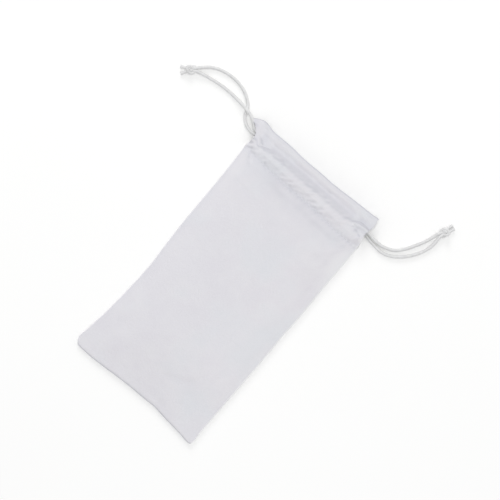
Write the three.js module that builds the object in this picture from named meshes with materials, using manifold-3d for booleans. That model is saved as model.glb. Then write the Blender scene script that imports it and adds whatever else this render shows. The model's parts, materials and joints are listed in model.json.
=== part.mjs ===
// A soft pouch with two drawstrings, lying on its back panel with its mouth a little open.
// Millimetres. X runs across the pouch, Y from the bottom seam to the mouth, and Z is up.

import * as THREE from 'three';
import { mergeVertices } from 'three/addons/utils/BufferGeometryUtils.js';
import Module from 'manifold-3d';

const wasm = await Module();
wasm.setup();

// Outline
const pouchWidth = 92;
const pouchLength = 177;
const cornerRadius = 5;

// Cloth and the gap that separates pieces which touch
const clothThickness = 0.5;
const touchGap = 0.3;

// Hem at the mouth
const headerDepth = 20;
const hemThickness = 1.1;
const foldThickness = 2.2;
const hemBand = 1.5;
const mouthGap = 6;
const pocketDepth = 5.4;

// Body of the pouch
const bottomSlope = 45;

// Seams, with the allowances turned to the inside
const seamWidth = 4;
const notchDepth = 14.8;

// Threads
const hemThread = 0.5;
const hemStitch = 2.8;
const hemWave = 0.3;
const seamThread = 0.5;
const seamStitch = 5;
const seamWave = 0.8;

// Drawstrings
const cordDiameter = 2;
const cordClearance = 0.3;
const firstRowDepth = 7.7;
const rowPitch = 3.6;
const rowSlant = 2;
const bightInset = 4.5;

// Knots
const knotLobe = 0.8;
const knotLift = 1.1;
const knotStrand = 2.6;
const knotHeight = 2.45;
const knotReach = 3.6;
const cutEndLength = 3;
const leftKnotPlace = [-100.64, 83.59];
const leftKnotAngle = 220.5;
const rightKnotPlace = [77.89, 107.64];
const rightKnotAngle = 69.5;

// Places worked out from the sizes above
const halfWidth = pouchWidth / 2;
const mouthY = pouchLength / 2;
const bottomY = -mouthY;
const hemY = mouthY - headerDepth;
const groove = hemThread + 2 * touchGap;
const panelTopY = hemY - groove / 2;
const casingLowY = hemY + groove / 2;
const tunnelHeight = cordDiameter + 2 * cordClearance;
const casingThickness = tunnelHeight + 2 * clothThickness;
const seamLowZ = clothThickness + touchGap;
const seamTopZ = seamLowZ + 2 * clothThickness;
const rimZ = seamTopZ + touchGap;
const hemStep = hemThickness - clothThickness;
const pocketX = halfWidth - pocketDepth;
const seamOuterX = halfWidth - touchGap;
const seamInnerX = seamOuterX - seamWidth;
const runHeight = clothThickness + tunnelHeight / 2;
const leftFrontY = mouthY - firstRowDepth;
const rightFrontY = leftFrontY - rowPitch;
const ridgeHighY = leftFrontY + cordDiameter / 2 + cordClearance;
const ridgeLowY = rightFrontY - rowSlant - cordDiameter / 2 - cordClearance;

// Free tails of the left drawstring, from the end of the tunnel to the knot
const leftFrontTail = [
  [-46.3, 80.8, 3.1], [-48.3, 81.2, 2.6], [-51, 83, 2.5], [-54.6, 85.3, 2.9],
  [-59, 86.7, 3.4], [-63.8, 87.5, 2.6], [-69.7, 88.2, 1.4], [-76.3, 88.4, 1.05],
  [-82.7, 88, 1.05], [-88.3, 87.2, 1.1], [-92.6, 86.4, 1.6], [-96.98, 85.25, 2.3],
];
const leftBackTail = [
  [-46.3, 78.8, 1.8], [-49, 78.6, 1.5], [-53.8, 79.7, 1.1], [-57.4, 82.3, 1.05],
  [-59.2, 85.2, 1.05], [-60.1, 87.9, 1.05], [-62.4, 90.8, 1.05], [-66.5, 93.6, 1.05],
  [-72.2, 95.7, 1.05], [-79.2, 96.3, 1.05], [-86.2, 95.3, 1.05], [-91.4, 93.2, 1.1],
  [-95.1, 90.3, 1.6], [-98.4, 86.95, 2.3],
];

// Free tails of the right drawstring
const rightFrontTail = [
  [46.3, 77.2, 3.1], [49, 77.1, 2.5], [52.4, 77.1, 1.6], [55.8, 77.5, 1.1],
  [61.7, 79.9, 1.05], [65.8, 84, 1.05], [70.5, 91.6, 1.05], [73.6, 98.2, 1.3],
  [75.46, 104.45, 2.3],
];
const rightBackTail = [
  [46.3, 75.2, 1.8], [49.5, 74.9, 1.3], [53, 74.4, 1.05], [57, 74.3, 1.05],
  [62.8, 76.2, 1.05], [68.4, 80.4, 1.05], [73.8, 87.2, 1.05], [77.1, 94.6, 1.1],
  [77.7, 99.6, 1.7], [77.54, 103.65, 2.3],
];

// Materials
const cloth = new THREE.MeshStandardMaterial({ color: 0xdedde2, roughness: 0.95, metalness: 0 });
const facing = new THREE.MeshStandardMaterial({ color: 0xd6d8de, roughness: 0.95, metalness: 0 });
const thread = new THREE.MeshStandardMaterial({ color: 0xe6e6ea, roughness: 0.7, metalness: 0 });
const cord = new THREE.MeshStandardMaterial({ color: 0xdcdcdc, roughness: 0.8, metalness: 0 });

// A route whose rings follow its control points, so that close points make a fine bend
class Route extends THREE.CatmullRomCurve3 {
  getPointAt(u, target) {
    return this.getPoint(u, target);
  }

  getTangentAt(u, target) {
    return this.getTangent(u, target);
  }
}

// Eases from 0 to 1
function ease(t) {
  return THREE.MathUtils.smoothstep(t, 0, 1);
}

// Height of the front casing's flat side above the floor: an arch that drops at both ends
function archZ(x) {
  const shoulderZ = casingThickness + touchGap;
  const crownZ = casingThickness + mouthGap;
  const endZ = rimZ - hemStep;
  const reach = Math.abs(x);
  if (reach <= pocketX) {
    return shoulderZ + (crownZ - shoulderZ) * (1 - (reach / pocketX) ** 3);
  }
  return shoulderZ - (shoulderZ - endZ) * ((reach - pocketX) / pocketDepth) ** 1.5;
}

// The back casing lies flat on the floor
function floorZ() {
  return 0;
}

// Thickness of a casing between the stitches and the mouth edge, with the ridge over the cords
function casingHeight(y) {
  if (y < ridgeLowY) {
    const t = (y - casingLowY) / (ridgeLowY - casingLowY);
    return hemThickness + (casingThickness - hemThickness) * ease(t);
  }
  const t = (y - ridgeHighY) / (mouthY - foldThickness / 2 - ridgeHighY);
  return casingThickness + (foldThickness - casingThickness) * ease(t);
}

// Half the width of the pouch at y, with its two bottom corners rounded off
function halfWidthAt(y) {
  const below = bottomY + cornerRadius - y;
  if (below <= 0) {
    return halfWidth;
  }
  return halfWidth - cornerRadius + Math.sqrt(Math.max(cornerRadius ** 2 - below ** 2, 0));
}

function polygon(radius, sides) {
  const points = [];
  for (let i = 0; i < sides; i += 1) {
    const angle = (2 * Math.PI * (i + 0.5)) / sides;
    points.push(new THREE.Vector2(radius * Math.cos(angle), radius * Math.sin(angle)));
  }
  return new THREE.Shape(points);
}

// A closed tube through a list of [x, y, z] points
function tube(points, diameter, sides, stepsPerSpan) {
  const route = new Route(points.map((point) => new THREE.Vector3(...point)));
  return new THREE.ExtrudeGeometry(polygon(diameter / 2, sides), {
    steps: (points.length - 1) * stepsPerSpan,
    bevelEnabled: false,
    extrudePath: route,
  });
}

function toManifold(geometry) {
  const bare = geometry.clone();
  bare.deleteAttribute('normal');
  bare.deleteAttribute('uv');
  const merged = mergeVertices(bare, 1e-4);
  return new wasm.Manifold(new wasm.Mesh({
    numProp: 3,
    vertProperties: new Float32Array(merged.getAttribute('position').array),
    triVerts: new Uint32Array(merged.getIndex().array),
  }));
}

function fromManifold(solid) {
  const mesh = solid.getMesh();
  const geometry = new THREE.BufferGeometry();
  geometry.setAttribute('position', new THREE.BufferAttribute(mesh.vertProperties, 3));
  geometry.setIndex(new THREE.BufferAttribute(mesh.triVerts, 1));
  geometry.computeVertexNormals();
  return geometry;
}

// The outer skin of a solid, with any hollow sealed inside it filled
function outerSkin(solid) {
  const skins = solid.decompose();
  return skins.reduce((largest, skin) => (skin.volume() > largest.volume() ? skin : largest));
}

// Sweeps a section drawn in Y and Z along X, from lowX on, and lifts it by baseZ(x)
function sweep(section, lowX, length, steps, baseZ) {
  const geometry = new THREE.ExtrudeGeometry(section, { depth: length, steps, bevelEnabled: false });
  const position = geometry.getAttribute('position');
  for (let i = 0; i < position.count; i += 1) {
    const x = lowX + position.getZ(i);
    const y = position.getX(i);
    const z = position.getY(i) + baseZ(x);
    position.setXYZ(i, x, y, z);
  }
  geometry.computeVertexNormals();
  return geometry;
}

// Y places along a casing at which its curved side is drawn, from the mouth down
function profileYs(highY, lowY) {
  const ys = [];
  const slopeSteps = 3;
  for (let i = 0; i <= slopeSteps; i += 1) {
    ys.push(THREE.MathUtils.lerp(highY, ridgeHighY, i / slopeSteps));
  }
  for (let i = 0; i <= slopeSteps; i += 1) {
    ys.push(THREE.MathUtils.lerp(ridgeLowY, lowY, i / slopeSteps));
  }
  return ys;
}

// Section of a casing: the hem folded at the mouth, with the tunnel for the cords in it
function casingSection() {
  const foldRadius = foldThickness / 2;
  const foldY = mouthY - foldRadius;
  const outline = [new THREE.Vector2(casingLowY, 0), new THREE.Vector2(foldY, 0)];
  for (const angle of [-45, 0, 45]) {
    const turn = THREE.MathUtils.degToRad(angle);
    outline.push(new THREE.Vector2(
      foldY + foldRadius * Math.cos(turn),
      foldRadius + foldRadius * Math.sin(turn),
    ));
  }
  for (const y of profileYs(foldY, casingLowY)) {
    outline.push(new THREE.Vector2(y, casingHeight(y)));
  }
  const tunnelHighY = mouthY - foldRadius - clothThickness / 2;
  const tunnelLowY = casingLowY + hemBand;
  const tunnel = [
    new THREE.Vector2(tunnelLowY, clothThickness),
    new THREE.Vector2(tunnelHighY, clothThickness),
  ];
  for (const y of profileYs(tunnelHighY, tunnelLowY)) {
    tunnel.push(new THREE.Vector2(y, casingHeight(y) - clothThickness));
  }
  const section = new THREE.Shape(outline);
  section.holes.push(new THREE.Path(tunnel));
  return section;
}

// A casing whose inner layer stops short of both ends, which leaves the outer cloth bare there
function casing(baseZ, steps, cutLowZ, cutHighZ) {
  let solid = toManifold(sweep(casingSection(), -halfWidth, pouchWidth, steps, baseZ));
  const cut = new THREE.Shape([
    new THREE.Vector2(casingLowY - 1, cutLowZ),
    new THREE.Vector2(mouthY + 1, cutLowZ),
    new THREE.Vector2(mouthY + 1, cutHighZ),
    new THREE.Vector2(casingLowY - 1, cutHighZ),
  ]);
  const cutSteps = 3;
  for (const lowX of [-halfWidth - 1, pocketX]) {
    solid = solid.subtract(toManifold(sweep(cut, lowX, pocketDepth + 1, cutSteps, baseZ)));
  }
  return fromManifold(solid);
}

function frontCasing() {
  return casing(archZ, 20, -1, hemStep);
}

function backCasing() {
  return casing(floorZ, 1, hemStep, casingThickness + 1);
}

// The upper sheet: flat at its rim, where it covers the seams, and arched over the inside
function frontPanel() {
  const length = panelTopY - bottomY;
  const columns = 18;
  const rows = 18;
  const geometry = new THREE.BoxGeometry(1, 1, 1, columns, rows, 1);
  const position = geometry.getAttribute('position');
  for (let i = 0; i < position.count; i += 1) {
    const across = position.getX(i) * 2;
    const along = position.getY(i) + 0.5;
    const y = bottomY + length * along ** 1.4;
    const x = across * halfWidthAt(y);
    const rise = ease((y - bottomY) / bottomSlope);
    const underside = rimZ + (archZ(x) + hemStep - rimZ) * rise;
    const z = underside + (position.getZ(i) + 0.5) * clothThickness;
    position.setXYZ(i, x, y, z);
  }
  geometry.computeVertexNormals();
  return geometry;
}

// The lower sheet, flat on the floor
function backPanel() {
  const outline = new THREE.Shape();
  outline.moveTo(-halfWidth, panelTopY);
  outline.lineTo(-halfWidth, bottomY + cornerRadius);
  outline.absarc(-halfWidth + cornerRadius, bottomY + cornerRadius, cornerRadius, Math.PI, 1.5 * Math.PI);
  outline.absarc(halfWidth - cornerRadius, bottomY + cornerRadius, cornerRadius, 1.5 * Math.PI, 2 * Math.PI);
  outline.lineTo(halfWidth, panelTopY);
  return new THREE.ExtrudeGeometry(outline, {
    depth: clothThickness,
    bevelEnabled: false,
    curveSegments: 5,
  });
}

// The two turned-in edges of one side, which lie flat between the panels
function sideSeam(side) {
  const lowY = bottomY + cornerRadius + touchGap;
  const topY = mouthY - notchDepth;
  const geometry = new THREE.BoxGeometry(seamWidth, topY - lowY, seamTopZ - seamLowZ);
  geometry.translate(side * (seamInnerX + seamWidth / 2), (lowY + topY) / 2, (seamLowZ + seamTopZ) / 2);
  return geometry;
}

function bottomSeam() {
  const length = 2 * (halfWidth - cornerRadius - touchGap);
  const geometry = new THREE.BoxGeometry(length, seamWidth, seamTopZ - seamLowZ);
  geometry.translate(0, bottomY + touchGap + seamWidth / 2, (seamLowZ + seamTopZ) / 2);
  return geometry;
}

// Thread that closes a tunnel, rising and dipping between the panel and the casing
function hemStitching(baseZ) {
  const reach = seamInnerX - touchGap - hemThread / 2;
  const stitches = Math.round((2 * reach) / hemStitch);
  const points = [];
  for (let i = 0; i <= 2 * stitches; i += 1) {
    const x = THREE.MathUtils.lerp(-reach, reach, i / (2 * stitches));
    const wave = i % 2 === 0 ? -hemWave : hemWave;
    points.push([x, hemY, baseZ(x) + wave]);
  }
  return tube(points, hemThread, 4, 1);
}

function frontHemStitching() {
  return hemStitching((x) => archZ(x) + hemStep + clothThickness / 2);
}

function backHemStitching() {
  return hemStitching(() => hemThread / 2 + hemWave + 0.05);
}

// Overlock thread beside the raw edge of a turned-in allowance
function overlock(from, to, acrossX, acrossY) {
  const length = Math.hypot(to[0] - from[0], to[1] - from[1]);
  const stitches = Math.round(length / seamStitch);
  const z = clothThickness + touchGap + seamThread / 2;
  const points = [];
  for (let i = 0; i <= 2 * stitches; i += 1) {
    const t = i / (2 * stitches);
    const wave = i % 2 === 0 ? -seamWave : seamWave;
    points.push([
      THREE.MathUtils.lerp(from[0], to[0], t) + wave * acrossX,
      THREE.MathUtils.lerp(from[1], to[1], t) + wave * acrossY,
      z,
    ]);
  }
  return tube(points, seamThread, 4, 1);
}

const overlockOffset = touchGap + seamThread / 2 + seamWave;

function sideSeamThread(side) {
  const x = side * (seamInnerX - overlockOffset);
  const lowY = bottomY + touchGap + seamWidth + 2 * overlockOffset + touchGap;
  return overlock([x, lowY], [x, panelTopY - touchGap - seamThread], 1, 0);
}

function bottomSeamThread() {
  const y = bottomY + touchGap + seamWidth + overlockOffset;
  const reach = halfWidth - cornerRadius - seamThread;
  return overlock([-reach, y], [reach, y], 0, 1);
}

// A drawstring inside the hem: the front run, the bight at the far end, and the back run.
// side is -1 where the knot is on the left, and 1 where it is on the right.
function cordLoop(side, frontY) {
  const backY = frontY - rowSlant;
  const bightX = halfWidth - bightInset;
  const points = [];
  const spans = 10;
  points.push([side * halfWidth, frontY, archZ(halfWidth) + runHeight]);
  points.push([side * (halfWidth - 2.5), frontY, archZ(halfWidth - 2.5) + runHeight]);
  for (let i = 0; i <= spans; i += 1) {
    const x = THREE.MathUtils.lerp(bightX, -bightX, i / spans);
    points.push([side * x, frontY, archZ(x) + runHeight]);
  }
  const frontZ = archZ(bightX) + runHeight;
  const halfY = (frontY - backY) / 2;
  const halfZ = (frontZ - runHeight) / 2;
  const radius = Math.hypot(halfY, halfZ);
  for (const angle of [30, 60, 90, 120, 150]) {
    const turn = THREE.MathUtils.degToRad(angle);
    points.push([
      side * (-bightX - radius * Math.sin(turn)),
      frontY - halfY + halfY * Math.cos(turn),
      frontZ - halfZ + halfZ * Math.cos(turn),
    ]);
  }
  for (const share of [-1, -0.5, 0, 0.5, 1]) {
    points.push([side * share * bightX, backY, runHeight]);
  }
  points.push([side * halfWidth, backY, runHeight]);
  return tube(points, cordDiameter, 8, 2);
}

// An overhand knot of the two strands, drawn tight, with the two cut ends past it.
// The strands come in along the knot's own +X.
function knot(place, angle) {
  const strandPoints = [];
  const steps = 24;
  for (let i = 0; i <= steps; i += 1) {
    const t = THREE.MathUtils.lerp(Math.PI * 1.04, Math.PI * 2.96, i / steps);
    strandPoints.push([
      knotLobe * (Math.sin(t) + 2 * Math.sin(2 * t)),
      knotLobe * (Math.cos(t) - 2 * Math.cos(2 * t)) + knotLobe * 1.3,
      knotHeight - knotLift * Math.sin(3 * t),
    ]);
  }
  const pieces = [];
  const spansPerPiece = 6;
  for (let i = 0; i < steps; i += spansPerPiece) {
    pieces.push(tube(strandPoints.slice(i, i + spansPerPiece + 1), knotStrand, 7, 1));
  }
  const entryZ = 2.3;
  pieces.push(tube([[-knotReach, 0, entryZ], [0, 0, entryZ]], knotStrand, 7, 1));
  for (const side of [-1, 1]) {
    const start = [0, side * 0.5, entryZ];
    const end = [knotReach + cutEndLength, side * 2, 1.3];
    pieces.push(tube([start, end], cordDiameter, 8, 1));
  }
  let solid = toManifold(pieces[0]);
  for (const piece of pieces.slice(1)) {
    solid = solid.add(toManifold(piece));
  }
  const geometry = fromManifold(outerSkin(solid));
  geometry.rotateZ(THREE.MathUtils.degToRad(angle));
  geometry.translate(place[0], place[1], 0);
  return geometry;
}

const pouch = new THREE.Group();

function addPiece(parent, name, geometry, material) {
  const mesh = new THREE.Mesh(geometry, material);
  mesh.name = name;
  parent.add(mesh);
}

function addCase(parent) {
  addPiece(parent, 'front_panel', frontPanel(), cloth);
  addPiece(parent, 'back_panel', backPanel(), cloth);
  addPiece(parent, 'front_casing', frontCasing(), cloth);
  addPiece(parent, 'back_casing', backCasing(), cloth);
  addPiece(parent, 'left_side_seam', sideSeam(-1), facing);
  addPiece(parent, 'right_side_seam', sideSeam(1), facing);
  addPiece(parent, 'bottom_seam', bottomSeam(), facing);
  addPiece(parent, 'front_hem_stitching', frontHemStitching(), thread);
  addPiece(parent, 'back_hem_stitching', backHemStitching(), thread);
  addPiece(parent, 'left_seam_thread', sideSeamThread(-1), thread);
  addPiece(parent, 'right_seam_thread', sideSeamThread(1), thread);
  addPiece(parent, 'bottom_seam_thread', bottomSeamThread(), thread);
}

function addLeftDrawstring(parent) {
  addPiece(parent, 'left_cord_loop', cordLoop(-1, leftFrontY), cord);
  addPiece(parent, 'left_tail_front', tube(leftFrontTail, cordDiameter, 8, 1), cord);
  addPiece(parent, 'left_tail_back', tube(leftBackTail, cordDiameter, 8, 1), cord);
  addPiece(parent, 'left_knot', knot(leftKnotPlace, leftKnotAngle), cord);
}

function addRightDrawstring(parent) {
  addPiece(parent, 'right_cord_loop', cordLoop(1, rightFrontY), cord);
  addPiece(parent, 'right_tail_front', tube(rightFrontTail, cordDiameter, 8, 1), cord);
  addPiece(parent, 'right_tail_back', tube(rightBackTail, cordDiameter, 8, 1), cord);
  addPiece(parent, 'right_knot', knot(rightKnotPlace, rightKnotAngle), cord);
}

addCase(pouch);
addLeftDrawstring(pouch);
addRightDrawstring(pouch);

export default pouch;
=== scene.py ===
"""A soft pouch with two drawstrings, lying on a pale table and seen straight from above.

Lengths are in millimetres here, and become metres where a mesh is made. X runs across the pouch,
Y from the bottom seam to the mouth, and Z is up. Left and right are as the mouth points away.
"""

import json
import math
from functools import cache

import bpy
import numpy as np
from mathutils import Matrix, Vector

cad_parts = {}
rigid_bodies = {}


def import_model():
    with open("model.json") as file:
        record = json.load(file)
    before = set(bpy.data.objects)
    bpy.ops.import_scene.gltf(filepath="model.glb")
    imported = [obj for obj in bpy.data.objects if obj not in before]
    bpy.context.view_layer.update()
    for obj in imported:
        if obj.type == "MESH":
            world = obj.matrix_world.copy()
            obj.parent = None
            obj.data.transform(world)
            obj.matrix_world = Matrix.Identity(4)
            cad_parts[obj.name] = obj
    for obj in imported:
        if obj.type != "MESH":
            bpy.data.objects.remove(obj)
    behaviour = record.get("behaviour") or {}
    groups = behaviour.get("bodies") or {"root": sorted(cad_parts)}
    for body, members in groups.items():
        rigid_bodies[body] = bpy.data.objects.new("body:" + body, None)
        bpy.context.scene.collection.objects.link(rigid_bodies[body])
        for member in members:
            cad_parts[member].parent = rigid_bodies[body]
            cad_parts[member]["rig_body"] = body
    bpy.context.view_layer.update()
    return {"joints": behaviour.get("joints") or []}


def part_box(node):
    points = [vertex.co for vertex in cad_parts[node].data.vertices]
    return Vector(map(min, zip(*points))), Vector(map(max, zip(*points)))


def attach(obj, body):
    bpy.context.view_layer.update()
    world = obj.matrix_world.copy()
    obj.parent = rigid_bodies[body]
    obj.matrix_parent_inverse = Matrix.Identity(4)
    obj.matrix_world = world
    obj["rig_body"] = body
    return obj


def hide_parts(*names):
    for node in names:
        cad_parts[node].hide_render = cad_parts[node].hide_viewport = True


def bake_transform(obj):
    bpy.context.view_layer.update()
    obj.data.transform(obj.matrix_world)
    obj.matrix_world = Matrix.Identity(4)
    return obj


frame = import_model()

MM = 0.001

# Places that come from the CAD frame
HALF_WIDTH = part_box("back_panel")[1].x / MM
BOTTOM_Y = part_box("back_panel")[0].y / MM
MOUTH_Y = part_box("back_casing")[1].y / MM
HEM_Y = sum(corner.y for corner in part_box("back_hem_stitching")) / 2 / MM
PULL_RANGE = frame["joints"][0]["range_m"][1] / MM

SIDE_NAMES = {-1: "left", 1: "right"}
SEAM_NAMES = {**SIDE_NAMES, 0: "bottom"}

# Cloth: its thickness, and how far its rims turn in
CLOTH = 0.5
SIDE_CURL = 0.6
END_CURL = 1.5
CURL_DROP = 0.95
RIM_Z = 2.1

# Swell of the body, with what its height and its squareness gain towards the hem
SWELL = 8.1
SWELL_POWER = 2.4
HEM_SWELL = 0.7
HEM_POWER = 1.2
BODY_SLOPE = 50
ROUND_BOTTOM = 0.45

# Dip of the front cloth at the hem's stitches, and how far down the body it is felt
HEM_DIP = 3.3
HEM_DIP_POWER = 2.5
HEM_DIP_LENGTH = 16

# Share of the body's waves that is left at the hem
HEM_SOFTNESS = 0.25

# Hem: the arch of its front facing, the cords' bed, and the edge of the mouth
ARCH_END = 4.1
ARCH_SAG = 0.1
ARCH_SOFTNESS = 0.1
CORD_BED = 0.45
FACING_REACH = HALF_WIDTH - 8
NOSE_DEPTH = 1.1
NOSE_Y = MOUTH_Y - NOSE_DEPTH
HEM_HEIGHT = 1.05
FACING_OVERLAP = 1.5
EAR_DROOP = 3

# Where forms set in or run out, as (place, length) for rise() or two of them for band(), in
# millimetres along the pouch or from the middle to the side, and in degrees for the nose
HEM_SWELL_IN = (20, 45)
ARCH_IN = (0.5, 4.5)
HEM_LEFT_IN = (31, 8)
HEM_RIGHT_IN = (25, 8)
EAR_IN = (81, 5)
MOUTH_EDGE_IN = (78, 10)
NOSE_IN = (-30, 120)
CLOSED_SIDE_IN = (40.5, 5)
CLOSED_SIDE_OUT = (72.5, 3.5)
CURL_OUT = (72, 3.5)
BOTTOM_EDGE_OUT = (0, 40)
STITCH_BAND = ((-13, 12), (1, 9))
BED_BAND = ((70, 2), (76.5, 2.5))
RIDGE_BAND = ((69, 1.6), (75, 2.5))
VALLEY_BAND = ((76, 2), (86, 1.4))
FLAT_BAND = ((81, 2), (85.5, 1.9))

# Waves of the cloth, as (height, length, seed), and where they mostly run one way also how far y
# is squeezed, their turn and its spread
WAVES_EACH = 7
BODY_WAVES = [(0.26, 42, 3), (0.12, 19, 5), (0.03, 8, 8)]
STITCH_PULLS = [(0.1, 7, 12, 0.35, 0, 0.5)]
STITCH_TUCKS = [(1, 7, 41, 0, 0, 0.2)]
WRINKLE_TURN = math.radians(-50)
RIDGE_WRINKLES = [(0.15, 7, 21, 1, WRINKLE_TURN, 0.5), (0.13, 3, 22, 1, WRINKLE_TURN, 0.4)]
VALLEY_WAVES = [(0.1, 6.5, 27, 0.4, 0, 0.4)]
FLAT_WAVES = [(0.07, 13, 24, 0.5, 0, 0.5), (0.03, 4, 25)]
FACING_WAVES = [(0.05, 9, 31)]
BACK_WAVES = [(0.08, 7, 35, 0.4, 0, 0.4)]

# Cloth that lies over a cord: it is round near the cord, and then falls away evenly
DRAPE_STEP = 0.4
DRAPE_REACH = 4
DRAPE_GAP = 0.12
DRAPE_ROUND = 1.2
DRAPE_BEND = 0.5
DRAPE_SLOPE = 1.1
DRAPE_BLEND = 0.18
DRAPE_BLEND_WIDTH = 0.3

# Outline of the cloth's middle surface, as (y, x) for the sides and (x, y) for the two ends
LEFT_EDGE = [
    (-88.5, -46), (-87.6, -46.9), (-86.5, -47.7), (-85, -48.2), (-83.2, -48.1), (-80, -47.5),
    (-74, -46.8), (-68, -46.1), (-62, -45.4), (-50, -44.5), (-38, -43.8), (-26, -43.4),
    (-20, -43.4), (-8, -44.2), (4, -44.8), (22, -45.2), (40, -45.3), (58, -45.8), (70, -46.2),
    (74, -45.9), (77, -45.8), (79.2, -46.4), (82.1, -48.8), (84.3, -50.9), (86.2, -53.4),
    (87.4, -54),
]
RIGHT_EDGE = [
    (-88.5, 44.4), (-86, 44.6), (-80, 44.2), (-68, 44.2), (-50, 44.4), (-26, 44.6), (-14, 44.6),
    (-2, 44.3), (10, 44.7), (22, 44.5), (40, 44.2), (64, 44.1), (70, 44), (73, 43.3),
    (75.5, 42.4), (78, 42.6), (80.8, 43.2), (83, 43.6), (85, 43.4), (87.4, 42.8),
]
BOTTOM_EDGE = [
    (-48, -84.9), (-46, -85.4), (-44.4, -85.7), (-42.5, -85.9), (-40, -85.9), (-36, -86.1),
    (-28, -85.8), (-16, -85), (-8, -84.6), (8, -84.4), (12, -84.2), (16, -84.5), (20, -85.1),
    (28, -85.9), (36, -86.7), (40, -87.4), (43, -87.5), (45, -86.9),
]
MOUTH_EDGE = [
    (-54, 85.7), (-51, 87.3), (-48.1, 88.5), (-43.9, 88.5), (-39.9, 87.5), (-34.2, 87.3),
    (-24, 87.2), (-16, 86.6), (0, 86.6), (8, 86.4), (16, 86.7), (28, 87.4), (36, 87.7), (40, 88),
    (42, 88.3), (43.5, 88),
]

# Line of the hem's stitches, as (x, distance from the straight line)
STITCH_LINE = [
    (-46, 0.4), (-33, 0), (-19, -0.9), (0, -0.8), (18, -1.7), (31, -2.5), (40, -2.4), (46, -1.8),
]

# Height of the front hem above its facing, from the stitches to the mouth, as (y, height)
HEM_MIDDLE = [
    (68.3, 1.05), (69, 1.3), (70, 1.72), (71, 2.12), (72, 2.48), (73, 2.8), (74.2, 3),
    (75.2, 2.86), (76.1, 2.57), (77, 2.22), (77.9, 1.86), (78.7, 1.56), (79.5, 1.32), (80.4, 1.17),
    (81.3, 1.2), (82.3, 1.4), (83.4, 1.7), (84.5, 1.97), (85.7, 2.1), (87.4, 2.05),
]
HEM_LEFT = [
    (68.3, 1.05), (69.4, 1.4), (70.8, 1.95), (72.3, 2.5), (73.8, 2.75), (75.2, 2.4), (76.4, 1.8),
    (77.6, 1.4), (80, 1.35), (82.4, 1.65), (84.2, 2), (85.6, 2.1), (87.4, 2),
]
HEM_RIGHT = [
    (68.3, 1.05), (69.4, 1.45), (70.6, 2), (72, 2.55), (73.4, 2.85), (75, 2.7), (76.4, 2.2),
    (78, 1.7), (80, 1.4), (81.6, 1.55), (83, 1.9), (85.4, 2.15), (87.4, 2.05),
]
BACK_HEM = [
    (68.5, 1.05), (69.4, 1.6), (71, 2.6), (73.9, 3.55), (82.1, 3.55), (84.5, 3.1), (86.2, 2.5),
    (87.4, 2.2),
]

# Folds of the front cloth: from, to, width, depth, where a negative depth stands proud
FOLDS = [
    ((-36.3, 50.2), (-19.9, 47.6), 2.2, 0.28),
    ((-39.6, 55.5), (-22, 53), 3.5, -0.2),
    ((6.2, -68.1), (20, -60.3), 3, 0.2),
    ((20, -60.3), (28.6, -42.7), 3.4, 0.28),
    ((28.6, -42.7), (32.5, 5.5), 7, 0.3),
    ((-42.5, 68.9), (-38.6, 64.6), 1.6, 0.5),
    ((-8, 62), (3, 52), 5, 0.18),
    ((14, 66), (24, 57), 4, 0.2),
]

# Sharp creases of the front hem, as the folds
CREASES = [
    ((33.5, 76.2), (41, 74.3), 0.7, 0.5),
    ((36, 80), (43.6, 79.5), 0.7, 0.3),
    ((-39.6, 75.4), (-34.6, 77.6), 0.7, 0.6),
    ((-42.4, 70.4), (-40.6, 66.8), 0.8, 0.5),
    ((-47.5, 84.5), (-42, 85.5), 1.5, 0.35),
]

# Dimples of the front cloth: place, radius, depth
DIMPLES = [
    ((-30.9, -10.7), 5, 0.3),
    ((-38.5, -47.1), 3.6, 0.42),
    ((-34.7, -58), 4.5, 0.3),
    ((-1.7, -1.5), 7, 0.25),
    ((10.5, 45.2), 5, 0.3),
    ((29.3, 45.4), 4, 0.35),
    ((11, -49.8), 7, 0.3),
    ((-40.1, 82), 2.4, 0.4),
]

# Rows of points on each sheet of cloth
EDGE_STEPS = np.array([0, 0.05, 0.15, 0.3, 0.5, 0.75, 1.05, 1.5, 2.1])
FRONT_COLUMNS = 78
BACK_COLUMNS = 46
BACK_INSET = 0.15

# Groove of the back sheet along its stitches
BACK_GROOVE = 0.4
BACK_GROOVE_WIDTH = 0.8

# Stitches
STITCH_PITCH = 2.8
STITCH_LENGTH = 2.1
STITCH_DENT = 0.08
PULL_LENGTH = 7
PUCKER_LENGTH = 1.6
TUCK_HEIGHT = 0.16
TUCK_SLANT = 1.1
TUCK_START = 0.4
THREAD_DIAMETER = 0.4
STITCH_REACH = 41.4
THREAD_SINK = 0.18
BACK_THREAD_Z = 0.42

# The hems' threads, as (how far a stitch bows up, points along it, sides)
HEM_THREADS = {"front": (0.24, 9, 8), "back": (-0.2, 7, 6)}

# Seam allowances, as (low, high, fray's turn from point to point) for their two layers
ALLOWANCE_LAYERS = ((0.72, 1.16, 1.7), (1.22, 1.66, 2.3))
ALLOWANCE_INSET = 0.9
ALLOWANCE_FRAY = 0.12
SEAM_WIDTH = 4
NOTCH_DEPTH = 14.8
SIDE_SEAM_Y = np.linspace(BOTTOM_Y + 6, MOUTH_Y - NOTCH_DEPTH, 110)
BOTTOM_SEAM_X = np.linspace(-HALF_WIDTH + 6, HALF_WIDTH - 4, 70)

# Overlock thread: its places along the seams, and its middle and sway as (away from the seam, up)
SIDE_THREAD_Y = np.arange(BOTTOM_Y + 8, HEM_Y - 2, 0.5)
BOTTOM_THREAD_X = np.arange(-HALF_WIDTH + 8, HALF_WIDTH - 6, 0.5)
OVERLOCK_RADIUS = 0.17
OVERLOCK_MIDDLE = (1.1, 1.2)
OVERLOCK_SWAY = (0.8, 0.66)

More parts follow.
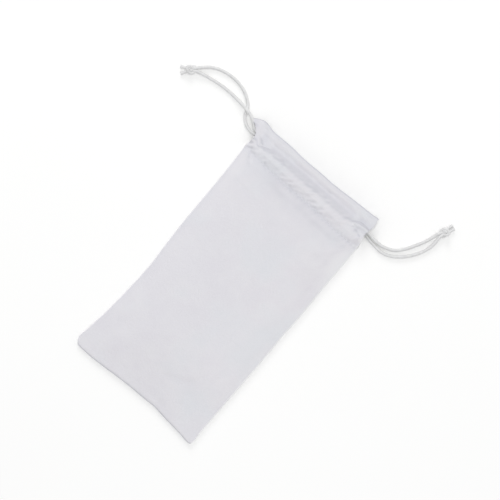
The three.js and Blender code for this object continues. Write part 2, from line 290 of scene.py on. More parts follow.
# Cords: the free tails follow the routes of the CAD
CORD = 2
CORD_STEP = 0.3
CORD_SIDES = 24
CORD_TIP = 0.15
CORD_END_SHARE = 0.9
CORD_GAP = 0.05
BRAID_LOBES = 3
BRAID_PITCH = 1.05
BRAID_DEPTH = 0.085
BRAID_MIDDLE = 0.8
LEFT_FRONT_TAIL = [
    (-46.3, 80.8, 3.1), (-48.3, 81.2, 2.6), (-51, 83, 2.5), (-54.6, 85.3, 2.9), (-59, 86.7, 3.4),
    (-63.8, 87.5, 2.6), (-69.7, 88.2, 1.4), (-76.3, 88.4, 1.05), (-82.7, 88, 1.05),
    (-88.3, 87.2, 1.1), (-92.6, 86.4, 1.6), (-96.98, 85.25, 2.3),
]
LEFT_BACK_TAIL = [
    (-46.3, 78.8, 1.8), (-49, 78.6, 1.5), (-53.8, 79.7, 1.1), (-57.4, 82.3, 1.05),
    (-59.2, 85.2, 1.05), (-60.1, 87.9, 1.05), (-62.4, 90.8, 1.05), (-66.5, 93.6, 1.05),
    (-72.2, 95.7, 1.05), (-79.2, 96.3, 1.05), (-86.2, 95.3, 1.05), (-91.4, 93.2, 1.1),
    (-95.1, 90.3, 1.6), (-98.4, 86.95, 2.3),
]
RIGHT_FRONT_TAIL = [
    (46.3, 77.2, 3.1), (49, 77.1, 2.5), (52.4, 77.1, 1.6), (55.8, 77.5, 1.1), (61.7, 79.9, 1.05),
    (65.8, 84, 1.05), (70.5, 91.6, 1.05), (73.6, 98.2, 1.3), (75.46, 104.45, 2.3),
]
RIGHT_BACK_TAIL = [
    (46.3, 75.2, 1.8), (49.5, 74.9, 1.3), (53, 74.4, 1.05), (57, 74.3, 1.05), (62.8, 76.2, 1.05),
    (68.4, 80.4, 1.05), (73.8, 87.2, 1.05), (77.1, 94.6, 1.1), (77.7, 99.6, 1.7),
    (77.54, 103.65, 2.3),
]
TAILS = {
    "left": {"front": LEFT_FRONT_TAIL, "back": LEFT_BACK_TAIL},
    "right": {"front": RIGHT_FRONT_TAIL, "back": RIGHT_BACK_TAIL},
}

# Runs in the hem, from each drawstring's own end: its entry, places where it rests on the front
# facing, its turn at the other end, and places along the back hem
LEFT_RUN = (
    [(-46.4, 80.8, 3.1), (-45, 80.6, 3.3), (-43.4, 79.5, 3.8), (-41.6, 77.8, 4.6),
     (-39.6, 75.7, 5.3)],
    [(-37, 74.4), (-33.5, 73.2), *((x, 72.9) for x in np.linspace(-28.5, 33.5, 12))],
    [(37, 73, 5.6), (39.6, 73.1, 5), (40.9, 73.6, 4.1), (40.6, 74.4, 2.9), (38.6, 75.1, 1.9)],
    [*((x, 75.2) for x in np.linspace(34, -36, 8)), (-39.5, 75.6), (-42.3, 76.8), (-44.4, 78.2),
     (-46.4, 78.8)],
)
RIGHT_RUN = (
    [(46.4, 77.2, 3.1), (45.3, 77.5, 3.3), (43.6, 77.9, 4), (41.4, 78.2, 4.9), (38.6, 78.1, 5.8)],
    [(35.2, 77.5), (31.5, 76.1), (27.5, 75.3), *((x, 75.05) for x in np.linspace(23, -29.5, 10))],
    [(-32.4, 75.1, 6), (-33.9, 75.4, 5.2), (-34.6, 76.1, 4), (-34.2, 77.6, 2.6), (-32, 78.7, 1.8)],
    [*((x, 78.8) for x in np.linspace(-27, 34, 7)), (37.5, 78.5), (40.8, 77.5), (43.8, 76),
     (46.4, 75.2)],
)
RUNS = {-1: LEFT_RUN, 1: RIGHT_RUN}
BACK_RUN_Z = 1.8

# Knots, as (place, angle, spread of the cut ends)
KNOTS = {"left": ((-100.64, 83.59), 220.5, 1.1), "right": ((77.89, 107.64), 69.5, 0.15)}

# Form of a knot: its half sizes and shift, its strands' distance from its line, and its height
KNOT_SIZE = (0.88, 0.72)
KNOT_SHIFT = 1.45
KNOT_OFFSET = 0.72
KNOT_HEIGHT = 2.5
KNOT_LIFT = 0.13
KNOT_RADIUS = 0.86

# How much thicker a knot's strands are, as (size, length), at their frayed ends and at the tails
KNOT_FRAY = (0.24, 0.9)
KNOT_NECK = (0.12, 1.5)

# Stretch of each cord, just inside the hem, that draws out when its knot is pulled
SLIDE_OUTER = 41
SLIDE_INNER = 38.5

# Map of the front cloth's hollows, which get painted shade, darker where they are deeper
HOLLOW_STEP = 0.75
HOLLOW_X = np.arange(-57, 51, HOLLOW_STEP)
HOLLOW_Y = np.arange(-91.5, 90, HOLLOW_STEP)
HOLLOW_REACH = 3
HOLLOW_SIDE = 12
HOLLOW_FULL_SHADE = 4

# Painted shade and light set by how the surface tips: how they follow its tilt along y and x, and
# the tilts between which the colour turns from plain to painted shade and from plain to painted
# light
LIGHT_SHADE_LEAN_Y = 0.42
LIGHT_SHADE_LEAN_X = 0.26
LIGHT_SHADE_CROSS = 0.6
PAINTED_SHADE_TIPS = (-0.1, 0.37)
PAINTED_LIGHT_TIPS = (-0.15, -0.5)

# Camera, straight above, and turned as the photograph is, with places in metres
CAMERA_PLACE = (-0.0039, 0.0242, 1.2)
CAMERA_RIGHT = (0.7612, 0.6486, 0)
CAMERA_LENS = 144

# Table, and lights as (place, size, power), with places and sizes in metres
TABLE_HALF = 3
TABLE_DROP = 0.0001
TABLE_GLOW = 0.1
AMBIENT = (0.6, 0.601, 0.606, 1)
LIGHTS = {"key": ((0, 0.22, 2.2), 0.9, 15.3), "side": ((-1.2, 1.35, 1), 0.8, 9.5)}


def ease(t):
    """Goes smoothly from 0 to 1."""
    t = np.clip(t, 0, 1)
    return t * t * (3 - 2 * t)


def rise(at, start, length):
    """Goes smoothly from 0 at start to 1 where it is a length further on."""
    return ease((at - start) / length)


def band(at, start, end):
    """1 between two soft ends, each given as (place, length), and 0 beyond them."""
    return rise(at, *start) * (1 - rise(at, *end))


def hermite(t):
    """Shares of a cubic's start, end, slope at the start and slope at the end."""
    return 2 * t**3 - 3 * t**2 + 1, 3 * t**2 - 2 * t**3, t**3 - 2 * t**2 + t, t**3 - t**2


def spline(knots, at):
    """A smooth curve through (place, value) knots, level beyond both ends."""
    place, value = np.array(knots, float).T
    slope = np.gradient(value, place)
    at = np.clip(at, place[0], place[-1])
    i = np.clip(np.searchsorted(place, at, side="right") - 1, 0, len(place) - 2)
    span = place[i + 1] - place[i]
    a, b, c, d = hermite((at - place[i]) / span)
    return a * value[i] + b * value[i + 1] + (c * slope[i] + d * slope[i + 1]) * span


def ripples(kinds, x, y):
    """Height of soft random waves, each kind with crests about its length apart."""
    whole = 0
    for height, length, seed, *form in kinds:
        squeeze, turn, spread = form or (1, 0, math.pi)
        dice = np.random.default_rng(seed)
        total = np.zeros(np.broadcast(x, y).shape)
        for _ in range(WAVES_EACH):
            size = length * dice.uniform(0.7, 1.5)
            angle = turn + dice.uniform(-spread, spread)
            phase = dice.uniform(0, 2 * math.pi)
            along = x * math.cos(angle) + squeeze * y * math.sin(angle)
            total = total + np.sin(2 * math.pi * along / size + phase)
        whole = whole + height * (total / math.sqrt(WAVES_EACH))
    return whole


def dome(x, y):
    """Height of the middle of the front cloth above the table, before the hem and its folds."""
    edge = np.where(x < 0, -spline(LEFT_EDGE, y), spline(RIGHT_EDGE, y))
    near_hem = rise(y, *HEM_SWELL_IN)
    crown = 1 - np.clip(np.abs(x) / edge, 0, 1) ** (SWELL_POWER + HEM_POWER * near_hem)
    t = np.clip((y - BOTTOM_Y) / BODY_SLOPE, 0, 1)
    climb = ease(t) + ROUND_BOTTOM * (1 - (1 - t) ** 2 - ease(t))
    return RIM_Z + CLOTH / 2 + (SWELL + HEM_SWELL * near_hem) * crown * climb


def stitch_height(x):
    """Height of the front cloth's middle along the hem's stitches."""
    dip = HEM_DIP * (1 - np.clip(np.abs(x) / HALF_WIDTH, 0, 1) ** HEM_DIP_POWER)
    return dome(x, np.full_like(x, HEM_Y)) - dip


def arch(x, y):
    """Height of the front facing's underside above the table, before the cords press it down."""
    sewn_part = stitch_height(x) + CLOTH / 2 - HEM_HEIGHT
    above = sewn_part - ARCH_SAG - ARCH_END
    open_part = ARCH_END + (above + np.sqrt(above**2 + ARCH_SOFTNESS)) / 2
    return sewn_part + (open_part - sewn_part) * rise(y - HEM_Y, *ARCH_IN)


def facing(x, y):
    """The same with the bed that the cords lie in."""
    return arch(x, y) - CORD_BED * band(y, *BED_BAND)


def end_shift(x, y):
    """How far the bottom edge, the stitches and the mouth edge lie from straight lines."""
    low = (spline(BOTTOM_EDGE, x) - BOTTOM_Y) * (1 - rise(y - BOTTOM_Y, *BOTTOM_EDGE_OUT))
    high = (spline(MOUTH_EDGE, x) - MOUTH_Y) * rise(y, *MOUTH_EDGE_IN)
    return low + high + spline(STITCH_LINE, x) * band(y - HEM_Y, *STITCH_BAND)


def groove_relief(folds, x, y):
    """Height of soft-sided grooves, each from one place to another."""
    total = np.zeros(np.broadcast(x, y).shape)
    for (x0, y0), (x1, y1), width, depth in folds:
        length = math.hypot(x1 - x0, y1 - y0)
        ux, uy = (x1 - x0) / length, (y1 - y0) / length
        along = (x - x0) * ux + (y - y0) * uy
        across = (y - y0) * ux - (x - x0) * uy
        past = np.maximum(np.maximum(-along, along - length), 0)
        total = total - depth * np.exp(-((across / width) ** 2) - (past / (1.5 * width)) ** 2)
    return total


def dimple_relief(x, y):
    """Height of the dimples, which is below 0."""
    total = np.zeros(np.broadcast(x, y).shape)
    for (x0, y0), radius, depth in DIMPLES:
        total = total - depth * np.exp(-((x - x0) ** 2 + (y - y0) ** 2) / radius**2)
    return total


def body_relief(x, y):
    """Soft undulations of the front cloth, none at its rims."""
    inside = rise(HALF_WIDTH - 1 - np.abs(x), 0, 9) * rise(y - BOTTOM_Y, 1, 9)
    fade = 1 - rise(y - HEM_Y, -3, 4)
    soft = ripples(BODY_WAVES, x, y)
    pulls = np.exp(-(((y - HEM_Y) / PULL_LENGTH) ** 2)) * ripples(STITCH_PULLS, x, y)
    folds = groove_relief(FOLDS, x, y) + dimple_relief(x, y)
    return inside * ((soft + pulls) * (HEM_SOFTNESS + (1 - HEM_SOFTNESS) * fade) + folds)


def stitch_pucker(x, y):
    """Cloth that bulges between the stitches, unevenly, and is held down at each of them."""
    sewn = rise(STITCH_REACH + 2 - np.abs(x), 0, 3)
    near = np.exp(-(((y - HEM_Y) / PUCKER_LENGTH) ** 2)) * sewn
    stitch = -STITCH_DENT * np.cos(2 * math.pi * x / STITCH_PITCH)
    slanted = x + TUCK_SLANT * (y - HEM_Y)
    tuck = np.maximum(ripples(STITCH_TUCKS, slanted, y) - TUCK_START, 0)
    return near * (stitch - TUCK_HEIGHT * tuck)


def hem_height(x, y):
    """Height of the front hem's outside above the facing's underside."""
    middle = spline(HEM_MIDDLE, y)
    left = rise(-x, *HEM_LEFT_IN) * (spline(HEM_LEFT, y) - middle)
    right = rise(x, *HEM_RIGHT_IN) * (spline(HEM_RIGHT, y) - middle)
    height = middle + left + right
    closing = rise(np.abs(x), *CLOSED_SIDE_IN) * (1 - rise(y, *CLOSED_SIDE_OUT))
    height = height + (HEM_HEIGHT - height) * closing
    ridge, flat = band(y, *RIDGE_BAND), band(y, *FLAT_BAND)
    between = (1 - ridge) * (1 - flat) * band(y, *VALLEY_BAND)
    wrinkles, soft = ridge * ripples(RIDGE_WRINKLES, x, y), flat * ripples(FLAT_WAVES, x, y)
    return height + wrinkles + soft + between * ripples(VALLEY_WAVES, x, y)


def draped(height, x, y):
    """The cloth's middle where it lies over a cord of the hem, and height elsewhere."""
    near = np.full(np.shape(x), -math.inf)
    rounded = DRAPE_BEND * DRAPE_ROUND**2
    for cx, cy, cz in hidden_cords():
        close = (np.abs(x - cx) < DRAPE_REACH) & (np.abs(y - cy) < DRAPE_REACH)
        away = np.hypot(x[close] - cx, y[close] - cy)
        slope = rounded + DRAPE_SLOPE * (away - DRAPE_ROUND)
        fall = np.where(away < DRAPE_ROUND, DRAPE_BEND * away**2, slope)
        near[close] = np.maximum(near[close], cz + CORD / 2 + CLOTH / 2 + DRAPE_GAP - fall)
    blend = DRAPE_BLEND * np.exp(-np.abs(height - near) / DRAPE_BLEND_WIDTH)
    return np.maximum(height, near) + blend


def ear_droop(x, y):
    """The loose corner of the hem at the left end of the mouth sinks towards the table."""
    return EAR_DROOP * rise(-HALF_WIDTH + 1 - x, 0, 8) * rise(y, *EAR_IN)


def front_outside(x, y):
    """Middle of the front cloth between the bottom seam and the mouth."""
    free = 1 - (1 - np.clip((HEM_Y - y) / HEM_DIP_LENGTH, 0, 1)) ** 2
    body = dome(x, y) + (stitch_height(x) - dome(x, np.full_like(x, HEM_Y))) * (1 - free)
    body = body + body_relief(x, y) * rise(HEM_Y - y, 0, 6)
    hem = arch(x, y) + hem_height(x, y) - CLOTH / 2 - ear_droop(x, y)
    if np.max(y) > HEM_Y:
        hem = draped(hem, x, y) + dimple_relief(x, y)
    return np.where(y < HEM_Y, body, hem) + stitch_pucker(x, y) + groove_relief(CREASES, x, y)


def turned_in(x, y, left, right):
    """How far cloth has turned in near the sides of the body and the bottom edge."""
    side_gap = np.where(x < 0, x - left, right - x)
    across = np.clip(1 - side_gap / SIDE_CURL, 0, 1)
    along = np.clip(1 - (y - BOTTOM_Y) / END_CURL, 0, 1)
    turn = np.minimum(np.hypot(across, along), 1)
    return (1 - rise(y, *CURL_OUT)) * CURL_DROP * (1 - np.sqrt(1 - turn**2))


def row_places(left_end, right_end, columns):
    """X places along one row, with the same number on both sides of the middle."""
    share = np.linspace(0, 1, columns, endpoint=False)
    right = np.concatenate([share * (right_end - EDGE_STEPS[-1]), right_end - EDGE_STEPS[::-1]])
    left = np.concatenate([share * (-left_end - EDGE_STEPS[-1]), -left_end - EDGE_STEPS[::-1]])
    return np.concatenate([-left[:0:-1], right])


def body_rows(spacing):
    """Y places from the bottom edge to the stitches, closer together near the hem."""
    low = BOTTOM_Y + EDGE_STEPS
    near = np.arange(HEM_Y - 9, HEM_Y - 0.01, 0.5)
    count = int((near[0] - low[-1]) / spacing)
    middle = np.linspace(low[-1], near[0], count, endpoint=False)[1:]
    return np.concatenate([low, middle, near])


def side_edges(y):
    return float(spline(LEFT_EDGE, y)), float(spline(RIGHT_EDGE, y))


def outside_rows(places, inset=0):
    """Rows over the outside of a sheet, which end this far inside the cloth's outline."""
    rows = []
    for y in places:
        left, right = side_edges(y)
        rows.append(("out", y, left + inset, right - inset))
    return rows


def nose_row(turn, share):
    """A row round the mouth, at this share of the way from the outside's width to the facing's."""
    left, right = (edge * (1 - share) for edge in side_edges(MOUTH_Y))
    return ("nose", math.radians(turn), left - FACING_REACH * share, right + FACING_REACH * share)


def facing_rows(first, step):
    """Rows along the facing, from a place this far below the mouth to past the stitches."""
    places = np.arange(NOSE_Y - first, HEM_Y - FACING_OVERLAP, -step)
    return [("facing", y, -FACING_REACH, FACING_REACH) for y in places]


def front_rows():
    """Rows of the front cloth: over the outside, round the mouth and back along the facing."""
    rows = outside_rows(body_rows(1.5)) + outside_rows(np.arange(HEM_Y, NOSE_Y, 0.45))
    rows += [nose_row(turn, rise(-turn, *NOSE_IN)) for turn in np.linspace(90, -90, 11)]
    return rows + facing_rows(1, 1.2)


def front_cloth():
    """The middle surface of the front cloth, rows by columns by 3, and how deep each point lies in
    the hollows, for their painted shade.
    """
    surface, depth = [], []
    for kind, at, left, right in front_rows():
        x = row_places(left, right, FRONT_COLUMNS)
        y = np.full_like(x, NOSE_Y if kind == "nose" else at)
        low = facing(x, y) + CLOTH / 2
        if kind == "out":
            z = front_outside(x, y) - turned_in(x, y, left, right)
        elif kind == "nose":
            high = front_outside(x, y)
            low = np.minimum(low, high - 1)
            radius = (high - low) / 2
            y = y + (NOSE_DEPTH - CLOTH / 2) * math.cos(at)
            z = low + radius + radius * math.sin(at)
        else:
            z = low + ripples(FACING_WAVES, x, y)
        depth.append(hollows(x, y) * (kind == "out"))
        surface.append(np.stack([x, y + end_shift(x, y), z], axis=-1))
    return np.array(surface), np.array(depth)


def back_rows():
    """The same for the back cloth."""
    rows = outside_rows(body_rows(3), BACK_INSET)
    rows += outside_rows(np.arange(HEM_Y, NOSE_Y, 0.9), -BACK_INSET)
    rows += [nose_row(turn, 1 - rise(-turn, *NOSE_IN)) for turn in np.linspace(-90, 90, 9)]
    return rows + facing_rows(0.8, 0.8)


def back_cloth():
    """The middle surface of the back cloth, which lies flat on the table, and has no hollows."""
    surface = []
    for kind, at, left, right in back_rows():
        x = row_places(left, right, BACK_COLUMNS)
        y = np.full_like(x, at)
        if kind == "out":
            groove = BACK_GROOVE * np.exp(-(((at - HEM_Y) / BACK_GROOVE_WIDTH) ** 2))
            z = CLOTH / 2 + turned_in(x, y, left, right) + groove
        elif kind == "nose":
            radius = NOSE_DEPTH - CLOTH / 2
            y = np.full_like(x, NOSE_Y + radius * math.cos(at))
            z = np.full_like(x, NOSE_DEPTH + radius * math.sin(at))
        else:
            height = spline(BACK_HEM, y) if at > HEM_Y else HEM_HEIGHT
            z = height - CLOTH / 2 + rise(at - HEM_Y, 0, 3) * ripples(BACK_WAVES, x, y)
        surface.append(np.stack([x, y + end_shift(x, y), z], axis=-1))
    surface = np.array(surface)
    return surface, np.zeros(surface.shape[:2])


@cache
def hollow_map():
    """How far the front cloth lies below what is round it, on a grid of places."""
    x, y = np.meshgrid(HOLLOW_X, HOLLOW_Y)
    height = np.array([front_outside(x[i], y[i]) for i in range(len(y))])
    reach = np.arange(-HOLLOW_SIDE, HOLLOW_SIDE + 1) * HOLLOW_STEP
    share = np.exp(-((reach / HOLLOW_REACH) ** 2) / 2)
    share /= share.sum()
    padded = np.pad(height, HOLLOW_SIDE, mode="edge")
    rows = sum(weight * padded[k : k + height.shape[0]] for k, weight in enumerate(share))
    soft = sum(weight * rows[:, k : k + height.shape[1]] for k, weight in enumerate(share))
    return np.maximum(soft - height, 0)


def hollows(x, y):
    """The value of the hollows map at these places."""
    depth = hollow_map()
    across = np.clip((x - HOLLOW_X[0]) / HOLLOW_STEP, 0, len(HOLLOW_X) - 1.001)
    along = np.clip((y - HOLLOW_Y[0]) / HOLLOW_STEP, 0, len(HOLLOW_Y) - 1.001)
    i, j = along.astype(int), across.astype(int)
    u, v = along - i, across - j
    low = depth[i, j] * (1 - v) + depth[i, j + 1] * v
    high = depth[i + 1, j] * (1 - v) + depth[i + 1, j + 1] * v
    return low * (1 - u) + high * u


def surface_normals(surface):
    """Directions across a grid of points."""
    across = np.gradient(surface, axis=1)
    along = np.gradient(surface, axis=0)
    normal = np.cross(across, along)
    return normal / np.maximum(np.linalg.norm(normal, axis=-1, keepdims=True), 1e-9)


def add_object(name, data):
    item = bpy.data.objects.new(name, data)
    bpy.context.scene.collection.objects.link(item)
    return item


def new_mesh(name, points, faces, material, normals=None):
    """A smooth mesh object from points in millimetres."""
    mesh = bpy.data.meshes.new(name)
    mesh.from_pydata((points * MM).tolist(), [], faces)
    mesh.validate()
    mesh.polygons.foreach_set("use_smooth", [True] * len(mesh.polygons))
    mesh.materials.append(material)
    if normals is not None:
        mesh.normals_split_custom_set_from_vertices(normals.tolist())
    mesh.update()
    return add_object(name, mesh)


def new_part(name, node, slot, points, faces, material):
    """A piece that takes the place of one CAD node."""
    piece = new_mesh(name, points, faces, material)
    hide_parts(node)
    return piece


def rim_faces(low, high):
    """Faces that join two lines of points, outwards to the right of their direction."""
    return [[low[i], low[i + 1], high[i + 1], high[i]] for i in range(len(low) - 1)]


def cloth_half(name, surface, depth, side, material):
    """One half of a sheet of cloth, as a closed shell that ends where the other half meets it."""
    normal = surface_normals(surface)
    high, low = surface + normal * CLOTH / 2, surface - normal * CLOTH / 2
    middle = surface.shape[1] // 2
    part = slice(0, middle + 1) if side < 0 else slice(middle, None)
    sheets = (high, low, surface_normals(high), -surface_normals(low))
    high, low, high_normal, low_normal = (sheet[:, part].reshape(-1, 3) for sheet in sheets)
    points, normals = np.concatenate([high, low]), np.concatenate([high_normal, low_normal])
    index = np.arange(len(high)).reshape(len(surface), -1)
    corners = (index[:-1, :-1], index[:-1, 1:], index[1:, 1:], index[1:, :-1])
    quads = np.stack([corner.ravel() for corner in corners], axis=-1)
    faces = quads.tolist() + (quads + len(high))[:, ::-1].tolist()
    for line in (index[0], index[-1, ::-1], index[::-1, 0], index[:, -1]):
        faces += rim_faces((line + len(high)).tolist(), line.tolist())
    piece = new_mesh(name, points, faces, material, normals)
    # How deep each point lies in the hollows, which the material turns into painted shade
    hollow_shade = piece.data.attributes.new("hollow_shade", "FLOAT", "POINT")
    hollow_shade.data.foreach_set("value", np.tile(depth[:, part].ravel(), 2).astype(np.float32))
    follow_hem(piece, side)
    return piece


def follow_hem(piece, side):
    """Keeps the bottom's piece, side 0, on the pouch, and bakes the transform of a side's piece."""
    if side == 0:
        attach(piece, "pouch_body")
        return
    set_blend(piece)


def set_blend(piece):
    """Bakes the piece's transform into its mesh."""
    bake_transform(piece)


def lengths_along(line):
    """How far along a line of points each of them lies."""
    return np.concatenate([[0], np.cumsum(np.linalg.norm(np.diff(line, axis=0), axis=1))])


def points_at(line, places):
    """Points that lie this far along a line."""
    length = lengths_along(line)
    return np.stack([np.interp(places, length, line[:, k]) for k in range(3)], axis=-1)


def smooth_route(points, step):
    """Evenly spaced points on a smooth curve through the given ones."""
    parts = 40
    known = np.array(points, float)
    known = np.vstack([2 * known[0] - known[1], known, 2 * known[-1] - known[-2]])
    a, b, c, d = hermite(np.linspace(0, 1, parts, endpoint=False)[:, None])
    spans = []
    for p0, p1, p2, p3 in zip(known, known[1:], known[2:], known[3:]):
        gaps = (p1 - p0, p2 - p1, p3 - p2)
        before, here, after = (math.sqrt(np.linalg.norm(gap)) for gap in gaps)
        start = ((p1 - p0) / before - (p2 - p0) / (before + here) + (p2 - p1) / here) * here
        end = ((p2 - p1) / here - (p3 - p1) / (here + after) + (p3 - p2) / after) * here
        spans.append(a * p1 + b * p2 + c * start + d * end)
    line = np.vstack(spans + [known[-2][None]])
    length = lengths_along(line)[-1]
    return points_at(line, np.linspace(0, length, max(int(round(length / step)), 2) + 1))


def ring_frames(line):
    """Two directions across the line at each of its points, without twist."""
    tangent = np.gradient(line, axis=0)
    tangent /= np.linalg.norm(tangent, axis=1, keepdims=True)
    first = np.cross(tangent[0], (0, 0, 1))
    side = first / np.linalg.norm(first)
    sides = []
    for direction in tangent:
        side = side - direction * np.dot(side, direction)
        side = side / np.linalg.norm(side)
        sides.append(side)
    sides = np.array(sides)
    return sides, np.cross(tangent, sides), tangent


def tube(line, radius, sides):
    """Points and faces of a closed tube. radius is a number, or one for each ring and side."""
    across, up, tangent = ring_frames(line)
    angle = np.linspace(0, 2 * math.pi, sides, endpoint=False)[None, :, None]
    radius = np.broadcast_to(radius, (len(line), sides))[..., None]
    ring = np.cos(angle) * across[:, None] + np.sin(angle) * up[:, None]
    points = (line[:, None] + radius * ring).reshape(-1, 3)
    faces = []
    for i in range(len(line) - 1):
        for k in range(sides):
            a, b = i * sides + k, i * sides + (k + 1) % sides
            faces.append([b, a, a + sides, b + sides])
    start = len(points)
    tips = line[:1] - tangent[:1] * CORD_TIP, line[-1:] + tangent[-1:] * CORD_TIP
    points = np.vstack([points, *tips])
    last = (len(line) - 1) * sides
    for k in range(sides):
        faces.append([start, k, (k + 1) % sides])
        faces.append([start + 1, last + (k + 1) % sides, last + k])
    return points, faces


def joined(parts):
    """Several meshes as one."""
    points, faces, first = [], [], 0
    for part_points, part_faces in parts:
        points.append(part_points)
        faces.extend([[index + first for index in face] for face in part_faces])
        first += len(part_points)
    return np.vstack(points), faces


def braid(rings, radius):
    """Radius of a round braided cord at each ring and side: two sets of strands that cross."""
    angle = np.linspace(0, 2 * math.pi, CORD_SIDES, endpoint=False)[None, :]
    along = (np.arange(rings) * CORD_STEP)[:, None] * math.pi / BRAID_PITCH
    one = np.abs(np.cos(BRAID_LOBES * angle + along))
    other = np.abs(np.cos(BRAID_LOBES * angle - along))
    return radius + BRAID_DEPTH * (np.maximum(one, other) - BRAID_MIDDLE)


def slide_line(points, side):
    """A loop's route, with extra rings where it draws out at the end of the hem on this side."""
    line = smooth_route(points, CORD_STEP)
    length = lengths_along(line)
    in_slide = (side * line[:, 0] > SLIDE_INNER) & (side * line[:, 0] < SLIDE_OUTER)
    extra = math.ceil(1 + PULL_RANGE / (SLIDE_OUTER - SLIDE_INNER))
    places = []
    for i in range(len(line) - 1):
        parts = extra if in_slide[i] else 1
        places.extend(np.linspace(length[i], length[i + 1], parts, endpoint=False))
    places.append(length[-1])
    return points_at(line, places)


def front_run(side):
    """A drawstring's strand in the front hem, from its own end to its turn."""
    entry, resting = RUNS[side][:2]
    x, y = np.array(resting).T
    z = facing(x, y) + CLOTH + CORD / 2 + CORD_GAP
    return entry + np.stack([x, y, z], axis=-1).tolist()


@cache
def hidden_cords():
    """Points along the strands under the front hem."""
    return np.vstack([smooth_route(front_run(side), DRAPE_STEP) for side in RUNS]).tolist()


def cord_loop(side, material):
    """A drawstring's run in the hem, with extra rings near its own end of the hem."""
    turn, back = RUNS[side][2:]
    line = slide_line(front_run(side) + turn + [(x, y, BACK_RUN_Z) for x, y in back], side)
    radius = braid(len(line), CORD / 2)
    radius[:2] *= CORD_END_SHARE
    radius[-2:] *= CORD_END_SHARE
    points, faces = tube(line, radius, CORD_SIDES)
    name = f"{SIDE_NAMES[side]}_cord_loop"
    piece = new_part(name, name, "cord", points, faces, material)
    set_blend(piece)


def tail(name, points, knot, material):
    """A free end of a drawstring, from the hem to its knot."""
    line = smooth_route(points, CORD_STEP)
    mesh = tube(line, braid(len(line), CORD / 2), CORD_SIDES)
    piece = new_part(name, name, "cord", *mesh, material)
    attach(piece, knot["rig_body"])


def knot_strand(side, spread):
    """One of the two strands that are knotted together, in the knot's own place and direction."""
    points = [(-4.1, side * 1.1, 2.3), (-3.2, side * 0.95, 2.35)]
    size_x, size_y = KNOT_SIZE
    for t in np.linspace(-1.8, 1.8, 15):
        x = size_x * (t**3 - 3 * t)
        y = size_y * (t**4 - 4 * t**2) + KNOT_SHIFT
        z = KNOT_HEIGHT + KNOT_LIFT * (t**5 - 10 * t)
        slope = (size_x * (3 * t**2 - 3), size_y * (4 * t**3 - 8 * t))
        length = math.hypot(*slope) + 0.3
        offset = side * KNOT_OFFSET
        points.append((x - offset * slope[1] / length, y + offset * slope[0] / length, z))
    points += [(3.3, side * 1.1, 1.9), (4.6, side * (1 + spread / 2), 1.3)]
    return points + [(6.3, side * (1 + spread), 1)]


def swelling(away, size, length):
    """How much thicker a strand is at rings that lie this far from its thick end."""
    return (size * np.exp(-((away / length) ** 2)))[:, None]


def knot(name, place, angle, spread, material):
    """An overhand knot of a drawstring's two strands, with two short cut ends."""
    cos, sin = math.cos(math.radians(angle)), math.sin(math.radians(angle))
    parts = []
    for side in (-1, 1):
        line = smooth_route(knot_strand(side, spread), CORD_STEP)
        from_start = np.arange(len(line)) * CORD_STEP
        radius = braid(len(line), KNOT_RADIUS)
        radius = radius + swelling(from_start[::-1], *KNOT_FRAY) + swelling(from_start, *KNOT_NECK)
        x, y, z = line.T
        x, y = place[0] + x * cos - y * sin, place[1] + x * sin + y * cos
        parts.append(tube(np.stack([x, y, np.maximum(z, 1)], axis=-1), radius, CORD_SIDES))
    piece = new_part(f"{name}_knot", f"{name}_knot", "cord", *joined(parts), material)
    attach(piece, f"{name}_drawstring")
    return piece


def thread_height(sheet, x, y):
    """Height of a hem's thread at the ends of its stitches. At the back it is in a groove."""
    if sheet == "back":
        return np.full_like(x, BACK_THREAD_Z)
    return arch(x, y) + HEM_HEIGHT + stitch_pucker(x, y) - THREAD_SINK


def hem_stitches(sheet, side, material):
    """Lockstitches of one half of a hem, each one sunk into the cloth at both ends."""
    parts = []
    height, steps, sides = HEM_THREADS[sheet]
    for i in range(int(STITCH_REACH / STITCH_PITCH)):
        middle = side * (i + 0.5) * STITCH_PITCH
        x = middle + np.linspace(-STITCH_LENGTH / 2, STITCH_LENGTH / 2, steps)
        y = np.full_like(x, HEM_Y)
        bow = 1 - (2 * (x - middle) / STITCH_LENGTH) ** 4
        z = thread_height(sheet, x, y) + height * bow
        line = np.stack([x, y + end_shift(x, y), z], axis=-1)
        parts.append(tube(line, THREAD_DIAMETER / 2, sides))
    name, node = f"{sheet}_stitches_{SIDE_NAMES[side]}", f"{sheet}_hem_stitching"
    follow_hem(new_part(name, node, "thread", *joined(parts), material), side)


def seam_points(side, along, away, widest=math.inf):
    """Points that lie this far in from the left (-1), right (1) or bottom (0) edge."""
    if side == 0:
        edge = BOTTOM_Y + end_shift(along, np.full_like(along, BOTTOM_Y))
        return np.column_stack([along, edge + away])
    edge = np.abs(spline(LEFT_EDGE if side < 0 else RIGHT_EDGE, along))
    return np.column_stack([side * np.minimum(edge, widest) - side * away, along])


